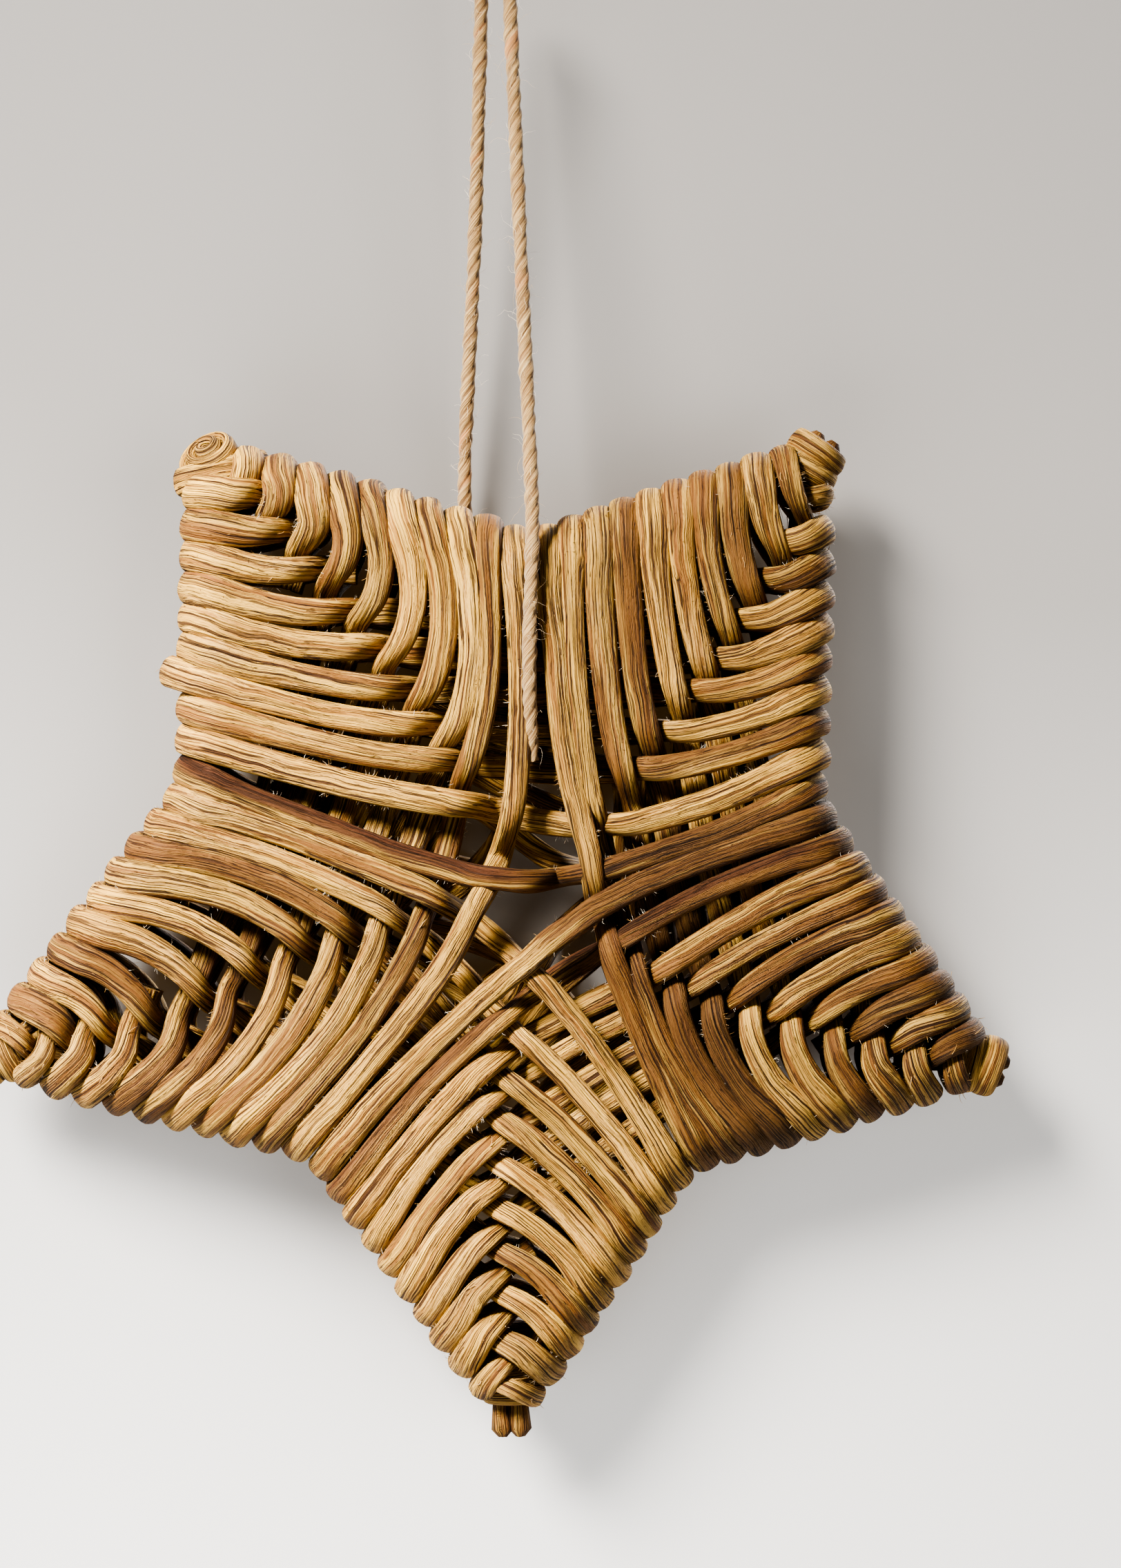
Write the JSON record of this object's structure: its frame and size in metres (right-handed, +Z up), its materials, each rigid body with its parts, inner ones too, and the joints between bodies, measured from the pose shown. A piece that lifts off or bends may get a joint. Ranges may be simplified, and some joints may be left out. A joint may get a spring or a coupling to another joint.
{
  "type": "rattan star ornament",
  "caption": "Five-pointed star wound from split rattan cane in a herringbone around a cane frame, with a jute twine loop to hang it by.",
  "frame": {"origin": "the point the ornament hangs from: the underside of the twine at the top of its loop", "axes": "+Z up, the star's plane is X and Z, its front faces -Y and its left and right are those of someone looking at the front"},
  "size_m": [0.2069, 0.0346, 0.2847],
  "materials": {
    "binding_bottom": "dry split rattan, satin, unlacquered",
    "binding_lower_left": "dry split rattan, satin, unlacquered",
    "binding_lower_right": "dry split rattan, satin, unlacquered",
    "binding_upper_left": "dry split rattan, satin, unlacquered",
    "binding_upper_right": "dry split rattan, satin, unlacquered",
    "coil_across_top": "dry split rattan, satin, unlacquered",
    "coil_down_left": "dry split rattan, satin, unlacquered",
    "coil_down_right": "dry split rattan, satin, unlacquered",
    "coil_rising_left": "dry split rattan, satin, unlacquered",
    "coil_rising_right": "dry split rattan, satin, unlacquered",
    "frame_bottom_left": "dry split rattan, satin, unlacquered",
    "frame_bottom_right": "dry split rattan, satin, unlacquered",
    "frame_left": "dry split rattan, satin, unlacquered",
    "frame_right": "dry split rattan, satin, unlacquered",
    "frame_top": "dry split rattan, satin, unlacquered",
    "turn_bottom_by_bottom_left_1": "dry split rattan, satin, unlacquered",
    "turn_bottom_by_bottom_left_2": "dry split rattan, satin, unlacquered",
    "turn_bottom_by_bottom_left_3": "dry split rattan, satin, unlacquered",
    "turn_bottom_by_bottom_right_1": "dry split rattan, satin, unlacquered",
    "turn_bottom_by_bottom_right_2": "dry split rattan, satin, unlacquered",
    "turn_bottom_by_bottom_right_3": "dry split rattan, satin, unlacquered",
    "turn_lower_left_by_bottom_left_1": "dry split rattan, satin, unlacquered",
    "turn_lower_left_by_bottom_left_2": "dry split rattan, satin, unlacquered",
    "turn_lower_left_by_bottom_left_3": "dry split rattan, satin, unlacquered",
    "turn_lower_left_by_left_1": "dry split rattan, satin, unlacquered",
    "turn_lower_left_by_left_2": "dry split rattan, satin, unlacquered",
    "turn_lower_left_by_left_3": "dry split rattan, satin, unlacquered",
    "turn_lower_right_by_bottom_right_1": "dry split rattan, satin, unlacquered",
    "turn_lower_right_by_bottom_right_2": "dry split rattan, satin, unlacquered",
    "turn_lower_right_by_bottom_right_3": "dry split rattan, satin, unlacquered",
    "turn_lower_right_by_right_1": "dry split rattan, satin, unlacquered",
    "turn_lower_right_by_right_2": "dry split rattan, satin, unlacquered",
    "turn_lower_right_by_right_3": "dry split rattan, satin, unlacquered",
    "turn_upper_left_by_left_1": "dry split rattan, satin, unlacquered",
    "turn_upper_left_by_left_2": "dry split rattan, satin, unlacquered",
    "turn_upper_left_by_left_3": "dry split rattan, satin, unlacquered",
    "turn_upper_left_by_top_1": "dry split rattan, satin, unlacquered",
    "turn_upper_left_by_top_2": "dry split rattan, satin, unlacquered",
    "turn_upper_left_by_top_3": "dry split rattan, satin, unlacquered",
    "turn_upper_right_by_right_1": "dry split rattan, satin, unlacquered",
    "turn_upper_right_by_right_2": "dry split rattan, satin, unlacquered",
    "turn_upper_right_by_right_3": "dry split rattan, satin, unlacquered",
    "turn_upper_right_by_top_1": "dry split rattan, satin, unlacquered",
    "turn_upper_right_by_top_2": "dry split rattan, satin, unlacquered",
    "turn_upper_right_by_top_3": "dry split rattan, satin, unlacquered",
    "twine_loop": "hairy plied jute"
  },
  "bodies": {
    "root": {"binding_bottom": "binding_bottom", "binding_lower_left": "binding_lower_left", "binding_lower_right": "binding_lower_right", "binding_upper_left": "binding_upper_left", "binding_upper_right": "binding_upper_right", "coil_across_top": "coil_across_top", "coil_down_left": "coil_down_left", "coil_down_right": "coil_down_right", "coil_rising_left": "coil_rising_left", "coil_rising_right": "coil_rising_right", "frame_bottom_left": "frame_bottom_left", "frame_bottom_right": "frame_bottom_right", "frame_left": "frame_left", "frame_right": "frame_right", "frame_top": "frame_top", "turn_bottom_by_bottom_left_1": "turn_bottom_by_bottom_left_1", "turn_bottom_by_bottom_left_2": "turn_bottom_by_bottom_left_2", "turn_bottom_by_bottom_left_3": "turn_bottom_by_bottom_left_3", "turn_bottom_by_bottom_right_1": "turn_bottom_by_bottom_right_1", "turn_bottom_by_bottom_right_2": "turn_bottom_by_bottom_right_2", "turn_bottom_by_bottom_right_3": "turn_bottom_by_bottom_right_3", "turn_lower_left_by_bottom_left_1": "turn_lower_left_by_bottom_left_1", "turn_lower_left_by_bottom_left_2": "turn_lower_left_by_bottom_left_2", "turn_lower_left_by_bottom_left_3": "turn_lower_left_by_bottom_left_3", "turn_lower_left_by_left_1": "turn_lower_left_by_left_1", "turn_lower_left_by_left_2": "turn_lower_left_by_left_2", "turn_lower_left_by_left_3": "turn_lower_left_by_left_3", "turn_lower_right_by_bottom_right_1": "turn_lower_right_by_bottom_right_1", "turn_lower_right_by_bottom_right_2": "turn_lower_right_by_bottom_right_2", "turn_lower_right_by_bottom_right_3": "turn_lower_right_by_bottom_right_3", "turn_lower_right_by_right_1": "turn_lower_right_by_right_1", "turn_lower_right_by_right_2": "turn_lower_right_by_right_2", "turn_lower_right_by_right_3": "turn_lower_right_by_right_3", "turn_upper_left_by_left_1": "turn_upper_left_by_left_1", "turn_upper_left_by_left_2": "turn_upper_left_by_left_2", "turn_upper_left_by_left_3": "turn_upper_left_by_left_3", "turn_upper_left_by_top_1": "turn_upper_left_by_top_1", "turn_upper_left_by_top_2": "turn_upper_left_by_top_2", "turn_upper_left_by_top_3": "turn_upper_left_by_top_3", "turn_upper_right_by_right_1": "turn_upper_right_by_right_1", "turn_upper_right_by_right_2": "turn_upper_right_by_right_2", "turn_upper_right_by_right_3": "turn_upper_right_by_right_3", "turn_upper_right_by_top_1": "turn_upper_right_by_top_1", "turn_upper_right_by_top_2": "turn_upper_right_by_top_2", "turn_upper_right_by_top_3": "turn_upper_right_by_top_3", "twine_loop": "twine_loop"}
  },
  "joints": []
}
